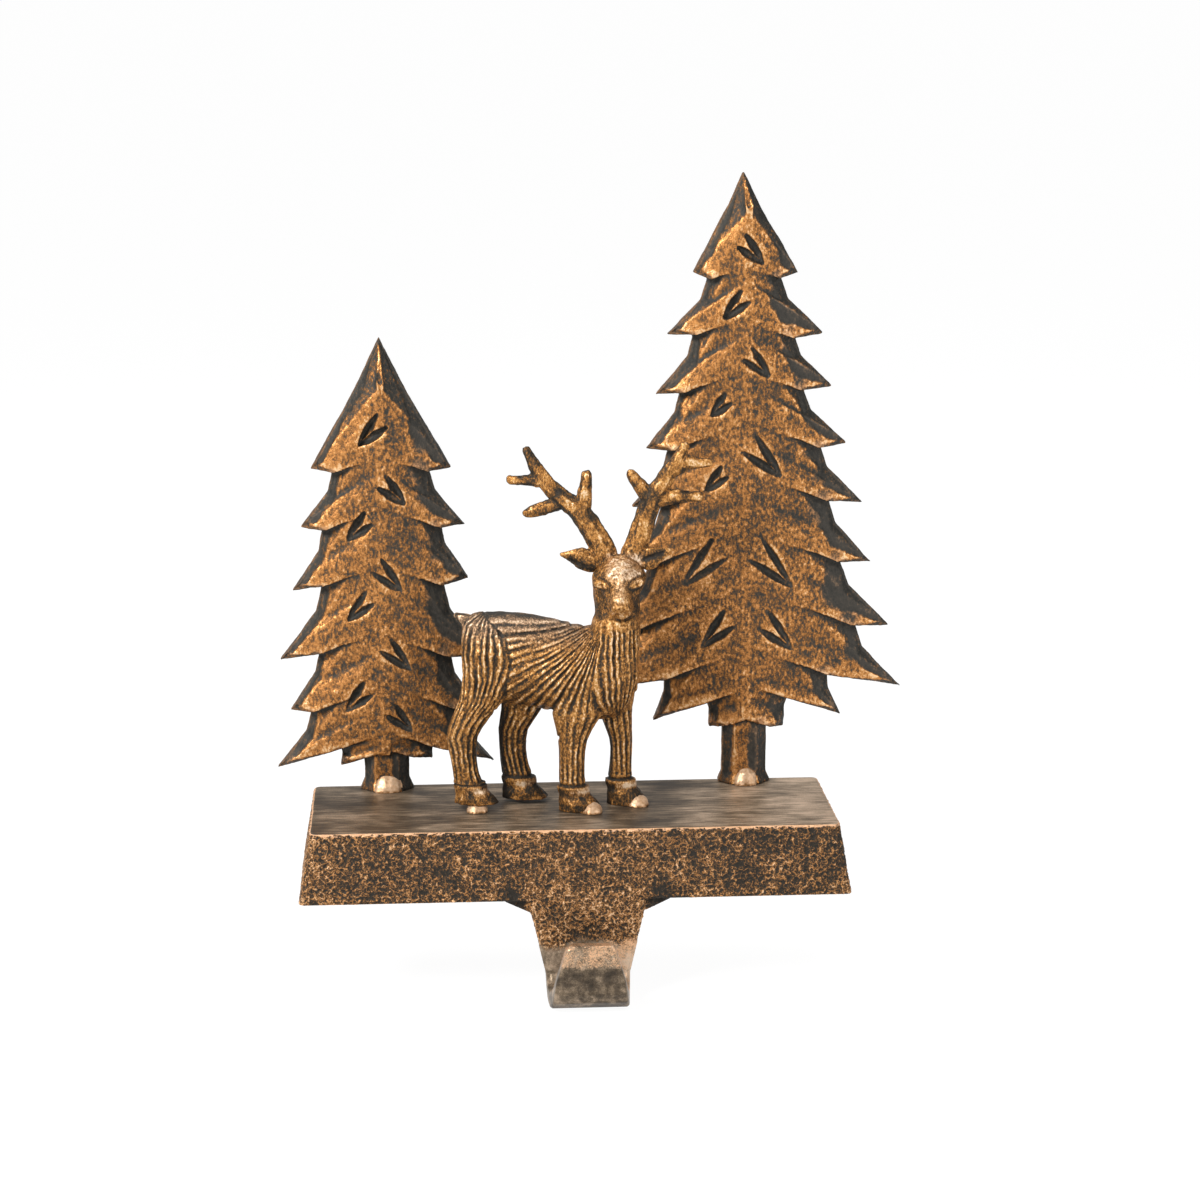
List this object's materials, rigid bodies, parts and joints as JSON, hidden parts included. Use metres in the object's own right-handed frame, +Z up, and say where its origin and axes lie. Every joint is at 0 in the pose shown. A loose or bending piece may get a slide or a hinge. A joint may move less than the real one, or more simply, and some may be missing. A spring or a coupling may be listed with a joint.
{
  "type": "mantel stocking holder",
  "caption": "Cast mantel weight with a stag between fir trees on a drafted base, and a broad hook below its front edge for hanging a stocking.",
  "frame": {"origin": "middle of the base's underside, in the plane that rests on the mantel", "axes": "+Z up along the trees, +Y from the hook towards the wall behind the mantel, +X to the right as seen from the front"},
  "size_m": [0.2006, 0.0773, 0.2494],
  "materials": {
    "base_metal": "antique copper over a dark patina, pebbled front and brushed top",
    "tree_metal": "antique copper rubbed over a dark patina",
    "deer_metal": "antique copper rubbed on carved fur, dark in the grooves",
    "weld_metal": "smooth pale copper"
  },
  "bodies": {
    "root": {"base_casting": "base_metal", "tall_tree": "tree_metal", "small_tree": "tree_metal", "deer": "deer_metal", "weld_tall_tree": "weld_metal", "weld_small_tree": "weld_metal", "weld_near_hind_hoof": "weld_metal", "weld_near_fore_hoof": "weld_metal", "weld_far_fore_hoof": "weld_metal"}
  },
  "joints": []
}
